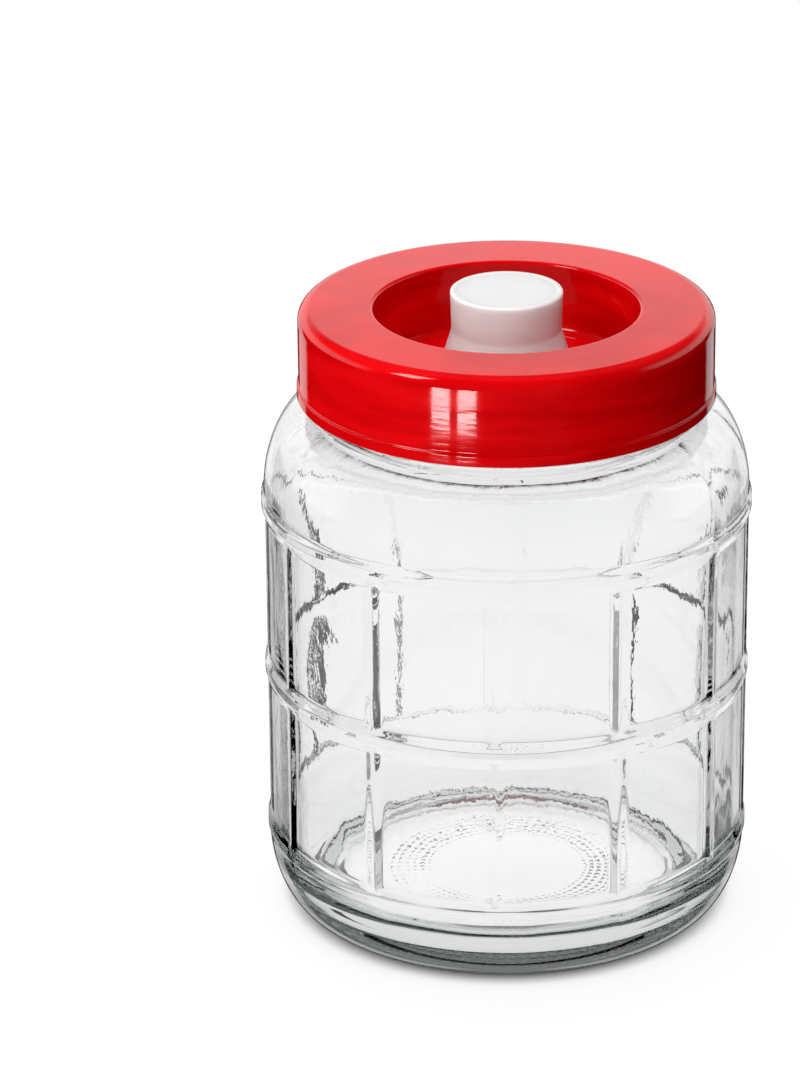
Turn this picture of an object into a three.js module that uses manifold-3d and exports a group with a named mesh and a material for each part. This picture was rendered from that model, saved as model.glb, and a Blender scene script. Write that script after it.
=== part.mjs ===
// A wide-mouthed glass demijohn of about five litres, closed by a red plastic screw lid.
// The lid has a round well with a post in its middle, and a milky airlock bell stands over the post.
// Millimetres, +Z up, the jar's foot at z = 0. Angles run from the front (-Y) towards +X.

import * as THREE from "three";
import { mergeVertices } from "three/addons/utils/BufferGeometryUtils.js";
import Module from "manifold-3d";

const TURN = 2 * Math.PI;
const DEGREE = Math.PI / 180;
const GAP = 0.3;

// The jar's driving sizes
const BODY_RADIUS = 94;
const JAR_HEIGHT = 242;
const FOOT_RADIUS = 78;
const HEEL_HEIGHT = 31;
const SHOULDER_START = 172;
const SHOULDER_ACROSS = 24;
const SHOULDER_UP = 37;
const NECK_RADIUS = 76;
const NECK_ROOT = 208;
const MOUTH_RADIUS = 70;
const WALL = 4.4;
const FLOOR_TOP = 10.5;
const FLOOR_RISE = 0.6;
const INNER_CORNER = 26;
const INNER_SHOULDER_ACROSS = 23.6;
const INNER_SHOULDER_UP = 29;
const PUSH_UP = 4.5;

// Raised belts round the body: height of the middle, full width and how far each stands proud
const UPPER_BELT = { middle: 168, width: 7.2, proud: 1 };
const MIDDLE_BELT = { middle: 99, width: 6, proud: 0.6 };
const LOWER_BELT = { middle: 32, width: 5, proud: 0.6 };

// Upright ribs with sunk panels between them
const RIB_COUNT = 12;
const RIB_PHASE = -2.8 * DEGREE;
const RIB_TOP_HALF = 1.4 * DEGREE;
const RIB_FOOT_HALF = 2.9 * DEGREE;
const PANEL_DEPTH = 1.1;
const PANEL_CORNER = 7;
const PANEL_EDGE = 2;

// The screw thread and the ring under it
const THREAD = { start: -4, turns: 1.2, pitch: 10.5, low: 226, width: 6, crest: 77.3 };
const RING = { middle: 213, width: 4, radius: 77.4 };

// The lid's driving sizes
const LID_RADIUS = 79.9;
const LID_HEIGHT = 34.8;
const LID_TOP_THICKNESS = 2.6;
const LID_EDGE_ROUND = 4.5;
const LIP_HEIGHT = 4.3;
const LIP_PROUD = 0.7;
const SKIRT_INSIDE = 78;
const WELL_RADIUS = 51;
const WELL_DEPTH = 27;
const WELL_WALL = 2.4;
const POST_RADIUS = 15.2;
const POST_ABOVE_LID = 3.9;

// The airlock bell's driving sizes
const BELL_BASE_RADIUS = 26.5;
const BELL_TOP_RADIUS = 21.6;
const BELL_HEIGHT = 33.4;
const BELL_BARREL = 15.5;
const BELL_WALL = 1.3;
const BELL_TUBE_RADIUS = 17;
const BELL_TUBE_LENGTH = 22.5;
const NOTCH_COUNT = 4;
const NOTCH_PHASE = -50 * DEGREE;
const NOTCH_WIDTH = 7.5;
const NOTCH_HEIGHT = 6.2;

const LID_STEPS = 48;
const BELL_STEPS = 32;

const wasm = await Module();
wasm.setup();

// A profile point, radius first.
function at(radius, height) {
  return new THREE.Vector2(radius, height);
}

// Points on an elliptical arc between two angles, where 0 is outwards and 90 is up.
function arc(centreRadius, centreHeight, across, up, from, to, steps) {
  const points = [];
  for (let i = 0; i <= steps; i += 1) {
    const angle = (from + ((to - from) * i) / steps) * DEGREE;
    points.push(at(centreRadius + across * Math.cos(angle), centreHeight + up * Math.sin(angle)));
  }
  return points;
}

function evenAngles(count) {
  return Array.from({ length: count }, (_, i) => (TURN * i) / count);
}

// The angles that follow the ribs: both edges of each rib and two stops across each panel.
function ribAngles() {
  const pitch = TURN / RIB_COUNT;
  const third = (pitch - 2 * RIB_FOOT_HALF) / 3;
  const stops = [-RIB_FOOT_HALF, -RIB_TOP_HALF, RIB_TOP_HALF, RIB_FOOT_HALF];
  stops.push(RIB_FOOT_HALF + third, RIB_FOOT_HALF + 2 * third);
  return evenAngles(RIB_COUNT).flatMap((rib) => stops.map((stop) => RIB_PHASE + rib + stop));
}

// A body turned round the upright axis, with its radius changed by relief(angle, height, row).
function turned(profile, angles, relief = () => 0) {
  const geometry = new THREE.LatheGeometry(profile, angles.length);
  const position = geometry.getAttribute("position");
  const rows = profile.length;
  for (let i = 0; i <= angles.length; i += 1) {
    const angle = angles[i % angles.length];
    profile.forEach((point, j) => {
      const radius = point.x === 0 ? 0 : point.x + relief(angle, point.y, j);
      position.setXYZ(i * rows + j, radius * Math.sin(angle), -radius * Math.cos(angle), point.y);
    });
  }
  return geometry;
}

// Merges shared vertices and drops the triangles that collapse on the axis.
function closed(geometry) {
  const bare = geometry.clone();
  bare.deleteAttribute("normal");
  bare.deleteAttribute("uv");
  const merged = mergeVertices(bare, 1e-4);
  const corners = merged.index.array;
  const kept = [];
  for (let i = 0; i < corners.length; i += 3) {
    const [a, b, c] = [corners[i], corners[i + 1], corners[i + 2]];
    if (a !== b && b !== c && c !== a) kept.push(a, b, c);
  }
  merged.setIndex(kept);
  return merged;
}

function solid(geometry) {
  const merged = closed(geometry);
  const vertProperties = new Float32Array(merged.getAttribute("position").array);
  const triVerts = new Uint32Array(merged.index.array);
  return new wasm.Manifold(new wasm.Mesh({ numProp: 3, vertProperties, triVerts }));
}

function geometryOf(body) {
  const mesh = body.getMesh();
  const geometry = new THREE.BufferGeometry();
  geometry.setAttribute("position", new THREE.BufferAttribute(mesh.vertProperties, 3));
  geometry.setIndex(new THREE.BufferAttribute(mesh.triVerts, 1));
  return geometry;
}

function part(name, geometry, material) {
  const mesh = new THREE.Mesh(geometry, material);
  mesh.name = name;
  return mesh;
}

// 0 below the first value, 1 above the second, straight between.
function ramp(value, from, to) {
  return THREE.MathUtils.clamp((value - from) / (to - from), 0, 1);
}

function beltEdges(belt) {
  return [belt.middle - belt.width / 2, belt.middle + belt.width / 2];
}

// How far the panels are sunk at a point of the wall: full depth inside a rectangle with round corners.
function panelSink(angle, height) {
  const pitch = TURN / RIB_COUNT;
  const turns = (angle - RIB_PHASE) / pitch;
  const fromRib = Math.abs(turns - Math.round(turns)) * pitch;
  const rows = [
    [beltEdges(LOWER_BELT)[1], beltEdges(MIDDLE_BELT)[0]],
    [beltEdges(MIDDLE_BELT)[1], beltEdges(UPPER_BELT)[0]],
  ];
  const row = rows.find(([low, high]) => height > low && height < high);
  if (!row || fromRib <= RIB_TOP_HALF) return 0;
  const halfHeight = (row[1] - row[0]) / 2;
  const fromEnd = halfHeight - Math.abs(height - (row[0] + row[1]) / 2);
  const fromSide = (fromRib - RIB_TOP_HALF) * BODY_RADIUS;
  const insideSide = PANEL_CORNER - fromSide;
  const insideEnd = PANEL_CORNER - fromEnd;
  const inCorner = insideSide > 0 && insideEnd > 0;
  const distance = inCorner ? PANEL_CORNER - Math.hypot(insideSide, insideEnd) : Math.min(fromSide, fromEnd);
  return PANEL_DEPTH * ramp(distance, 0, PANEL_EDGE);
}

// The body wall from one belt's upper edge to the next belt's lower edge, with the rows the panels need.
function panelRows(low, high) {
  const stops = [PANEL_EDGE, PANEL_CORNER * 0.6, PANEL_CORNER + PANEL_EDGE];
  const rising = stops.map((stop) => at(BODY_RADIUS, low + stop));
  const falling = stops.map((stop) => at(BODY_RADIUS, high - stop)).reverse();
  return [...rising, ...falling];
}

function beltRows(belt) {
  const [low, high] = beltEdges(belt);
  const flank = belt.width / 4;
  const crest = BODY_RADIUS + belt.proud;
  return [at(BODY_RADIUS, low), at(crest, low + flank), at(crest, high - flank), at(BODY_RADIUS, high)];
}

function jarOutside() {
  const heel = arc(FOOT_RADIUS, HEEL_HEIGHT, BODY_RADIUS - FOOT_RADIUS, HEEL_HEIGHT, -90, -9, 7);
  heel.pop();
  const shoulderCentre = BODY_RADIUS - SHOULDER_ACROSS;
  const shoulder = arc(shoulderCentre, SHOULDER_START, SHOULDER_ACROSS, SHOULDER_UP, 0, 75.5, 7);
  const ringHalf = RING.width / 2;
  return [
    at(0, PUSH_UP),
    at(52, PUSH_UP - 0.6),
    at(71, 2.6),
    at(FOOT_RADIUS - 3, 0),
    ...heel,
    ...beltRows(LOWER_BELT),
    ...panelRows(beltEdges(LOWER_BELT)[1], beltEdges(MIDDLE_BELT)[0]),
    ...beltRows(MIDDLE_BELT),
    ...panelRows(beltEdges(MIDDLE_BELT)[1], beltEdges(UPPER_BELT)[0]),
    ...beltRows(UPPER_BELT),
    ...shoulder.slice(1),
    at(NECK_RADIUS, NECK_ROOT + 1.2),
    at(NECK_RADIUS, RING.middle - ringHalf),
    at(RING.radius, RING.middle - ringHalf / 2),
    at(RING.radius, RING.middle + ringHalf / 2),
    at(NECK_RADIUS, RING.middle + ringHalf),
  ];
}

function jarRim() {
  return [
    at(NECK_RADIUS, JAR_HEIGHT - 1.8),
    at(NECK_RADIUS - 0.6, JAR_HEIGHT - 0.5),
    at(NECK_RADIUS - 1.8, JAR_HEIGHT),
    at(MOUTH_RADIUS + 1.6, JAR_HEIGHT),
    at(MOUTH_RADIUS, JAR_HEIGHT - 1.6),
  ];
}

function jarInside() {
  const inner = BODY_RADIUS - WALL;
  const across = INNER_SHOULDER_ACROSS;
  const shoulder = arc(inner - across, SHOULDER_START - 2, across, INNER_SHOULDER_UP, 80, 0, 6);
  const cornerHeight = FLOOR_TOP - FLOOR_RISE + INNER_CORNER;
  const heel = arc(inner - INNER_CORNER, cornerHeight, INNER_CORNER, INNER_CORNER, 0, -90, 6);
  return [...shoulder, ...heel, at(0, FLOOR_TOP)];
}

// A raised ridge that climbs round the neck and runs out at both ends.
function threadRidge() {
  const steps = 48;
  const runOut = 14;
  const root = NECK_RADIUS - 1.5;
  const section = 4;
  const points = [];
  for (let i = 0; i <= steps; i += 1) {
    const turns = (THREAD.turns * i) / steps;
    const angle = THREAD.start * DEGREE + turns * TURN;
    const fromEnd = Math.min(turns, THREAD.turns - turns) * 360;
    const crest = NECK_RADIUS - 0.4 + (THREAD.crest - NECK_RADIUS + 0.4) * ramp(fromEnd, 0, runOut);
    const middle = THREAD.low + THREAD.pitch * turns;
    const corners = [
      [root, middle - THREAD.width / 2],
      [crest, middle - THREAD.width / 5],
      [crest, middle + THREAD.width / 5],
      [root, middle + THREAD.width / 2],
    ];
    corners.forEach(([r, z]) => points.push(r * Math.sin(angle), -r * Math.cos(angle), z));
  }
  const faces = [];
  for (let i = 0; i < steps; i += 1) {
    for (let k = 0; k < section; k += 1) {
      const a = i * section + k;
      const b = i * section + ((k + 1) % section);
      faces.push(a, a + section, b, b, a + section, b + section);
    }
  }
  const last = steps * section;
  faces.push(0, 1, 2, 0, 2, 3);
  faces.push(last, last + 2, last + 1, last, last + 3, last + 2);
  const geometry = new THREE.BufferGeometry();
  geometry.setAttribute("position", new THREE.Float32BufferAttribute(points, 3));
  geometry.setIndex(faces);
  return geometry;
}

function jarGeometry() {
  const profile = [...jarOutside(), ...jarRim(), ...jarInside()];
  const outsideRows = jarOutside().length;
  const relief = (angle, height, row) => (row < outsideRows ? -panelSink(angle, height) : 0);
  const body = solid(turned(profile, ribAngles(), relief));
  return geometryOf(body.add(solid(threadRidge())));
}

const LID_TOP = JAR_HEIGHT + GAP + LID_TOP_THICKNESS;
const WELL_FLOOR = LID_TOP - WELL_DEPTH;

function lidGeometry() {
  const bottom = LID_TOP - LID_HEIGHT;
  const postTop = LID_TOP + POST_ABOVE_LID;
  const underside = JAR_HEIGHT + GAP;
  const lip = LID_RADIUS + LIP_PROUD;
  const wellOutside = WELL_RADIUS + WELL_WALL;
  const round = LID_EDGE_ROUND;
  const edge = arc(LID_RADIUS - round, LID_TOP - round, round, round, 90, 0, 4);
  const outline = [
    at(0, postTop),
    at(POST_RADIUS - 0.7, postTop),
    at(POST_RADIUS, postTop - 0.7),
    at(POST_RADIUS, WELL_FLOOR + 1.2),
    at(POST_RADIUS + 1.2, WELL_FLOOR),
    at(WELL_RADIUS - 2.5, WELL_FLOOR),
    at(WELL_RADIUS - 0.4, WELL_FLOOR + 2.1),
    at(WELL_RADIUS, LID_TOP - 1.2),
    at(WELL_RADIUS + 1.2, LID_TOP),
    ...edge,
    at(LID_RADIUS, bottom + LIP_HEIGHT + LIP_PROUD),
    at(lip, bottom + LIP_HEIGHT),
    at(lip, bottom + 0.8),
    at(lip - 0.8, bottom),
    at(SKIRT_INSIDE, bottom),
    at(SKIRT_INSIDE, underside),
    at(wellOutside, underside),
    at(wellOutside, WELL_FLOOR),
    at(wellOutside - WELL_WALL, WELL_FLOOR - WELL_WALL),
    at(0, WELL_FLOOR - WELL_WALL),
  ];
  return turned(outline.reverse(), evenAngles(LID_STEPS));
}

// The bell from its crown down the outside, round the rim and up inside, with the tube that hangs within.
function bellOutline() {
  const base = WELL_FLOOR + GAP;
  const crown = base + BELL_HEIGHT;
  const barrelFoot = crown - BELL_BARREL;
  const barrelRadius = BELL_TOP_RADIUS - 0.5;
  const ceiling = crown - BELL_WALL;
  const tubeEnd = crown - BELL_TUBE_LENGTH;
  return [
    at(0, crown - 0.4),
    at(BELL_TOP_RADIUS - 3, crown - 0.4),
    at(BELL_TOP_RADIUS - 1.6, crown),
    at(BELL_TOP_RADIUS - 0.4, crown - 0.3),
    at(BELL_TOP_RADIUS, crown - 1.3),
    at(barrelRadius, barrelFoot),
    at(barrelRadius + 0.8, barrelFoot - 3),
    at(BELL_BASE_RADIUS, base + 1),
    at(BELL_BASE_RADIUS, base),
    at(BELL_BASE_RADIUS - BELL_WALL, base),
    at(barrelRadius + 0.8 - BELL_WALL, barrelFoot - 3),
    at(barrelRadius - BELL_WALL, barrelFoot),
    at(barrelRadius - BELL_WALL, ceiling),
    at(BELL_TUBE_RADIUS, ceiling),
    at(BELL_TUBE_RADIUS, tubeEnd),
    at(BELL_TUBE_RADIUS - BELL_WALL, tubeEnd),
    at(BELL_TUBE_RADIUS - BELL_WALL, ceiling - 0.4),
    at(0, ceiling - 0.4),
  ];
}

// An arch cut through the rim, as a prism that reaches outwards along the given angle.
function notchCutter(angle) {
  const half = NOTCH_WIDTH / 2;
  const arch = new THREE.Shape();
  arch.moveTo(-half, -2);
  arch.lineTo(half, -2);
  arch.lineTo(half, NOTCH_HEIGHT - half);
  arch.absarc(0, NOTCH_HEIGHT - half, half, 0, Math.PI, false);
  arch.closePath();
  const depth = 12;
  const cutter = new THREE.ExtrudeGeometry(arch, { depth, bevelEnabled: false, curveSegments: 8 });
  cutter.rotateX(Math.PI / 2);
  cutter.translate(0, -(BELL_BASE_RADIUS - depth / 2), 0);
  cutter.rotateZ(angle);
  cutter.translate(0, 0, WELL_FLOOR + GAP);
  return cutter;
}

function bellGeometry() {
  let bell = solid(turned(bellOutline().reverse(), evenAngles(BELL_STEPS)));
  for (let i = 0; i < NOTCH_COUNT; i += 1) {
    bell = bell.subtract(solid(notchCutter(NOTCH_PHASE + (TURN * i) / NOTCH_COUNT)));
  }
  return geometryOf(bell);
}

const glass = new THREE.MeshStandardMaterial({ color: 0xeef2f1, roughness: 0.03, metalness: 0 });
glass.transparent = true;
glass.opacity = 0.35;
const redPlastic = new THREE.MeshStandardMaterial({ color: 0xc80304, roughness: 0.15, metalness: 0 });
const milkyPlastic = new THREE.MeshStandardMaterial({ color: 0xebebe8, roughness: 0.3, metalness: 0 });

const demijohn = new THREE.Group();
demijohn.add(part("glass_jar", jarGeometry(), glass));
demijohn.add(part("screw_lid", lidGeometry(), redPlastic));
demijohn.add(part("airlock_bell", bellGeometry(), milkyPlastic));

export default demijohn;
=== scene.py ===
import math

import bpy
import numpy as np
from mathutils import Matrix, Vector, noise


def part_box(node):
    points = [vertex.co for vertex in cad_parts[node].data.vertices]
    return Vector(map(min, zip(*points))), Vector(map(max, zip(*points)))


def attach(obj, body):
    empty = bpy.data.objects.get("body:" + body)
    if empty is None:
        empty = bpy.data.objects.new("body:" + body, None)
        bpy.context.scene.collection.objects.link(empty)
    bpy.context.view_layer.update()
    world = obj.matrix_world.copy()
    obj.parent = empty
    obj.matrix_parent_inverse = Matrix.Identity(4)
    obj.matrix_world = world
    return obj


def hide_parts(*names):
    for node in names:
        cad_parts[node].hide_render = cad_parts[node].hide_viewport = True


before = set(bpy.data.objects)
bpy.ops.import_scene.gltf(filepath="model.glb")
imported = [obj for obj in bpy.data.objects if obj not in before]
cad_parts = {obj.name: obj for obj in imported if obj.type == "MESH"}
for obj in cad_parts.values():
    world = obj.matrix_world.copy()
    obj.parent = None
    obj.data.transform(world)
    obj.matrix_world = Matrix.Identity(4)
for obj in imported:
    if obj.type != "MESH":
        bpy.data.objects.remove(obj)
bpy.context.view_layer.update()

bl_info = {
    "name": "Glass demijohn",
    "version": (1, 0, 0),
    "blender": (4, 5, 0),
    "location": "View3D > Sidebar > Demijohn",
    "description": "A wide-mouthed glass jar with a red screw lid and a milky airlock bell",
    "category": "Add Mesh",
}

# Metres, +Z up, the jar's foot at z = 0. Angles run from the front (-Y) towards +X.
MM = 0.001
TURN = 2 * math.pi

JAR_LOW, JAR_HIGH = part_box("glass_jar")
LID_LOW, LID_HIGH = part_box("screw_lid")
BELL_LOW, BELL_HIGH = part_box("airlock_bell")

# Small sizes of the jar that a user would leave alone; an END or BEGIN is an angle of an arc in degrees
FOOT_RADIUS = 78 * MM
FOOT_INSIDE = 75 * MM
HEEL_HEIGHT = 31 * MM
HEEL_END = -6
SHOULDER_START = 172 * MM
SHOULDER_ACROSS = 24 * MM
SHOULDER_UP = 37 * MM
SHOULDER_BEGIN = 1.5
SHOULDER_END = 75.5
NECK_RADIUS = 76 * MM
NECK_ROOT = 209.2 * MM
MOUTH_RADIUS = 70 * MM
FLOOR_TOP = 10.5 * MM
FLOOR_RISE = 0.6 * MM
INNER_CORNER = 26 * MM
INNER_NECK_FOOT = 200 * MM
INNER_SHOULDER_START = SHOULDER_START - 2 * MM
INNER_SHOULDER_ACROSS = 23.6 * MM
INNER_SHOULDER_UP = 29 * MM
INNER_SHOULDER_END = 80
RIM_OUTER_ROUND = 1.8 * MM
RIM_INNER_ROUND = 1.6 * MM

# The hollow underside, as radii and the heights above the foot at them
UNDERSIDE_RADII = (0, 50 * MM, 63 * MM, FOOT_INSIDE)
UNDERSIDE_HEIGHTS = (4.5 * MM, 4.0 * MM, 3.2 * MM, 0)

# Raised belts round the body: height of the middle, full width, share of the upper belt's height
BELTS = {
    "lower": (32 * MM, 5 * MM, 0.6),
    "middle": (99 * MM, 6 * MM, 0.6),
    "upper": (168 * MM, 7.2 * MM, 1.0),
}
BELT_FLANK = 0.26

# Upright ribs with sunk panels between them; the curves are shares of a panel's sloping edge
RIB_COUNT = 12
RIB_PHASE = math.radians(-2.8)
RIB_TOP_CURVE = 0.1
RIB_FOOT_CURVE = 0.35
PANEL_CORNER = 4.5 * MM

# Columns over each rib and each panel, and rows of the wall near a belt
RIB_COLUMNS = 21
PANEL_COLUMNS = 13
RIB_REACH = 1.1
ROWS_NEAR_BELT = np.array([0.5, 1.0, 1.5, 2.0, 2.7, 3.7, 5.0, 6.6, 8.6]) * MM

# The blown inner wall: slow swells, and flats with soft steps between them
SWELL_AROUND = 1.7
SWELL_UPRIGHT = 70 * MM
SETTLE_AROUND = 2.6
SETTLE_UPRIGHT = 110 * MM
SETTLE_PLACE = (7.1, 3.3)
SETTLE_STEP = 0.05
SETTLE_SHARE = 0.45

# Where the inner wall's waves fade out towards the axis and the rim, and where its crinkles set in
WAVE_RADIUS = 60 * MM
WAVE_BELOW_RIM = 30 * MM
CRINKLE_HEIGHTS = (30 * MM, 65 * MM)

# The ring under the thread, and the thread
RING_MIDDLE = 213 * MM
RING_WIDTH = 4 * MM
RING_PROUD = 1.4 * MM
THREAD_START = math.radians(-4)
THREAD_TURNS = 1.2
THREAD_PITCH = 10.5 * MM
THREAD_LOW = 226 * MM
THREAD_WIDTH = 6 * MM
THREAD_PROUD = 1.3 * MM
THREAD_RUN_OUT = math.radians(14)

# Small sizes of the lid and the bell
WELL_WALL = 2.4 * MM
LID_TOP_THICKNESS = 2.6 * MM
LIP_HEIGHT = 4.3 * MM
LIP_PROUD = 0.7 * MM
SKIRT_INSIDE = 78 * MM
BELL_BARREL = 15.5 * MM
BELL_TUBE_RADIUS = 17 * MM
BELL_TUBE_LENGTH = 22.5 * MM
BELL_CROWN_SUNK = 0.4 * MM
NOTCH_COUNT = 4
NOTCH_PHASE = math.radians(-50)

# Crinkles of the inner wall and the ring of dimples under the floor
CRINKLE_SCALE = 180.0
CRINKLE_DEPTH = 0.028 * MM
STIPPLE_RADII = (31 * MM, 46 * MM)
STIPPLE_STEP = 3.0 * MM
STIPPLE_ROUND = 36
STIPPLE_DEPTH = 0.24 * MM
STIPPLE_BELOW = 7 * MM
STIPPLE_EDGE = 0.5 * MM

# How quickly thick glass dims, per metre
GLASS_DENSITY = 10.5

# The camera: its place, its tilt, and the image in pixels
CAMERA_FRONT = 1.812
CAMERA_HEIGHT = 0.901
CAMERA_DOWN = math.radians(22.63)
IMAGE_WIDTH = 800
IMAGE_HEIGHT = 1092
FOCAL_PIXELS = 5044
AXIS_PIXEL = 506.5

# The floor, and the painted shade in its glow where the foot ring covers it
FLOOR_RADIUS = 6.0
PAINTED_FOOT_SHADE_RADIUS = 78 * MM
PAINTED_FOOT_SHADE_WIDTH = 13 * MM

# The backdrop. Rise is the height of a direction, from -1 straight down to 1 straight up.
# Heading is its angle in radians, from the back towards the right.
# Each row gives a rise, the stage's setting for the brightness there, and a factor on it.
BACKDROP = (
    (-0.09, "ground", 1.0),
    (-0.05, "horizon", 1.0),
    (0.325, "horizon", 1.1),
    (0.36, "horizon", 0.6),
    (0.5, "zenith", 1.0),
)

# What rays through glass see of it: the table, the light overhead, and more light upwards
TABLE_RISE = (-0.95, -0.07)
TABLE_SOFT = 0.02
OVERHEAD_RISE = (0.36, 1.1)
OVERHEAD_THROUGH = 0.9
UPWARD_RISE = (0.0, 1.1)
UPWARD_THROUGH = 0.2
UPPER_SOFT = 0.04

# What mirrors see of it: a bright streak on the table at each side, and a dark front
STREAK_HEADING = (0.3, 0.62)
STREAK_SOFT = 0.03
STREAK_BRIGHTNESS = 0.8
FRONT_HEADING = (1.7, 3.6)
FRONT_SOFT = 0.15

# Dark cards that rays through glass see: left and right heading, lowest and highest rise, darkness
CARDS = (
    (-1.1, -0.36, -0.62, -0.375, 0.35),
    (-0.36, -0.225, -0.62, -0.325, 0.96),
    (0.226, 0.27, -0.62, -0.325, 0.65),
    (0.27, 1.1, -0.62, -0.375, 0.3),
    (-0.95, -0.36, -0.375, -0.12, 0.8),
    (0.36, 0.95, -0.375, -0.12, 0.8),
)
CARD_SIDE_SOFT = 0.008
CARD_END_SOFT = 0.015

# Soft lights: place, the point that each faces, width and height
OVERHEAD = ((0, 0.1, 1.9), (0, 0, 0.2), 1.6, 1.6)
SOFTBOX = ((-1.33, -0.77, 1.49), (0, 0, 0.22), 0.5, 0.8)
BELL_LIGHT = ((-0.25, -1.3, 1.6), (0, 0, 0.24), 0.25, 0.5)

# The window mirrored on the lid: where it is mirrored, where it stands from there, and its panes
WINDOW_TARGET = (-0.02, -0.077, 0.228)
WINDOW_HEADING = math.radians(28.8)
WINDOW_DROP = math.radians(20)
WINDOW_AWAY = 0.5
WINDOW_COLUMN_STEP = 66 * MM
WINDOW_ROW_STEP = 9.6 * MM
PANE_WIDTH = 90 * MM
PANE_HEIGHT = 8.5 * MM
PANE_WATTS = 0.04

# The black card at the right: distance from the axis, near and far end, height
SHADE_CARD = (0.24, -0.4, 0.4, 0.5)


def length(name, description, size):
    """A size property, with its default given in metres."""
    return bpy.props.FloatProperty(
        name=name, description=description, default=size, min=0.0, unit="LENGTH", precision=4
    )


def tint(name, description, colour):
    """A colour property in linear red, green and blue."""
    return bpy.props.FloatVectorProperty(
        name=name, description=description, default=colour, subtype="COLOR", size=3, min=0.0, max=1.0
    )


def amount(name, description, value, high=1.0):
    """A plain number property from nothing up to high."""
    return bpy.props.FloatProperty(name=name, description=description, default=value, min=0.0, max=high)


class JarSizes(bpy.types.PropertyGroup):
    """Sizes of the glass jar."""

    height: length("Height", "Height of the rim above the foot", JAR_HIGH.z)
    belt_proud: length("Belt height", "How far the upper belt stands proud of the wall", 1.0 * MM)
    wall: length("Wall", "Thickness of the glass in the wall", 4.4 * MM)
    panel_depth: length("Panel depth", "How far the panels are sunk between the ribs", 0.95 * MM)
    panel_edge: length("Panel edge", "Width of the sloping edge of a panel beside a rib", 4.2 * MM)
    panel_end: length("Panel end", "Width of the sloping edge of a panel beside a belt", 3.0 * MM)
    rib_half: length("Rib half width", "Half the width of a rib's flat top", 0.3 * MM)
    wave: length("Inner waves", "How far the blown inner wall swells in and out", 0.35 * MM)


class LidSizes(bpy.types.PropertyGroup):
    """Sizes of the screw lid."""

    well_radius: length("Well radius", "Inside radius of the round well", 51 * MM)
    well_depth: length("Well depth", "Depth of the well below the lid's top", 27 * MM)
    post_radius: length("Post radius", "Radius of the post in the well", 15.2 * MM)
    post_above: length("Post above lid", "How far the post stands above the lid's top", 3.9 * MM)
    edge_round: length("Edge rounding", "Rounding of the lid's outer upper edge", 4.5 * MM)


class BellSizes(bpy.types.PropertyGroup):
    """Sizes of the airlock bell."""

    top_radius: length("Crown radius", "Radius of the bell's crown", 21.6 * MM)
    wall: length("Wall", "Thickness of the bell's wall", 1.3 * MM)
    notch_width: length("Notch width", "Width of each notch in the rim", 7.5 * MM)
    notch_height: length("Notch height", "Height of each notch in the rim", 6.2 * MM)


class Finishes(bpy.types.PropertyGroup):
    """Colours of the three materials."""

    glass_clear: tint("Clear glass", "Tint of the glass where it is clearest", (1.0, 1.0, 1.0))
    glass_deep: tint("Deep glass", "Tint of the glass in its streaks", (0.975, 0.98, 0.978))
    glass_depth: tint("Glass in depth", "What thick glass lets through", (0.0, 0.04, 0.03))
    red: tint("Red", "Main red of the lid", (0.79, 0.001, 0.003))
    deep_red: tint("Deep red", "Darker flow marks in the lid", (0.6, 0.0005, 0.002))
    milk: tint("Milky white", "Main tone of the bell", (0.99, 0.99, 0.985))
    milk_shade: tint("Milky shade", "Cloudier tone in the bell", (0.95, 0.95, 0.945))


class StageLooks(bpy.types.PropertyGroup):
    """The floor, the backdrop and the lights."""

    floor: tint("Floor", "Colour of the floor", (0.25, 0.25, 0.25))
    floor_glow: amount("Floor glow", "How bright the floor is by itself", 0.84, 4.0)
    horizon: amount("Horizon", "Brightness of the backdrop near the horizon", 1.0, 4.0)
    zenith: amount("Zenith", "Brightness of the room overhead", 0.06, 4.0)
    through: amount("Through glass", "How bright the table is where it is seen through glass", 1.05, 4.0)
    ground: amount("Ground", "Brightness of what mirrors see below the horizon", 0.0, 4.0)
    overhead: amount("Overhead light", "Power of the soft light overhead in watts", 31.0, 500.0)
    softbox: amount("Softbox", "Power of the softbox that the lid mirrors, in watts", 11.0, 500.0)
    bell_light: amount("Bell light", "Power of the light on the bell in watts", 17.0, 500.0)


def arc(centre, across, up, start, end, steps):
    """Profile points on an elliptical arc between two angles in degrees; 0 is outwards, 90 is up."""
    angles = np.radians(np.linspace(start, end, steps + 1))
    return [(centre[0] + across * math.cos(a), centre[1] + up * math.sin(a)) for a in angles]


def smooth(value, low, high):
    """0 below low, 1 above high, with an S curve between."""
    t = np.clip((value - low) / (high - low), 0.0, 1.0)
    return t * t * (3 - 2 * t)


def slope(value, width):
    """0 below 0, 1 above width: a tight curve, a straight slope and a wider curve at its foot."""
    t = np.clip(value / width, 0.0, 1.0)
    steep = 1 / (1 - (RIB_TOP_CURVE + RIB_FOOT_CURVE) / 2)
    low = steep * t * t / (2 * RIB_TOP_CURVE)
    high = 1 - steep * (1 - t) ** 2 / (2 * RIB_FOOT_CURVE)
    middle = steep * (t - RIB_TOP_CURVE / 2)
    return np.where(t < RIB_TOP_CURVE, low, np.where(t > 1 - RIB_FOOT_CURVE, high, middle))


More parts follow.
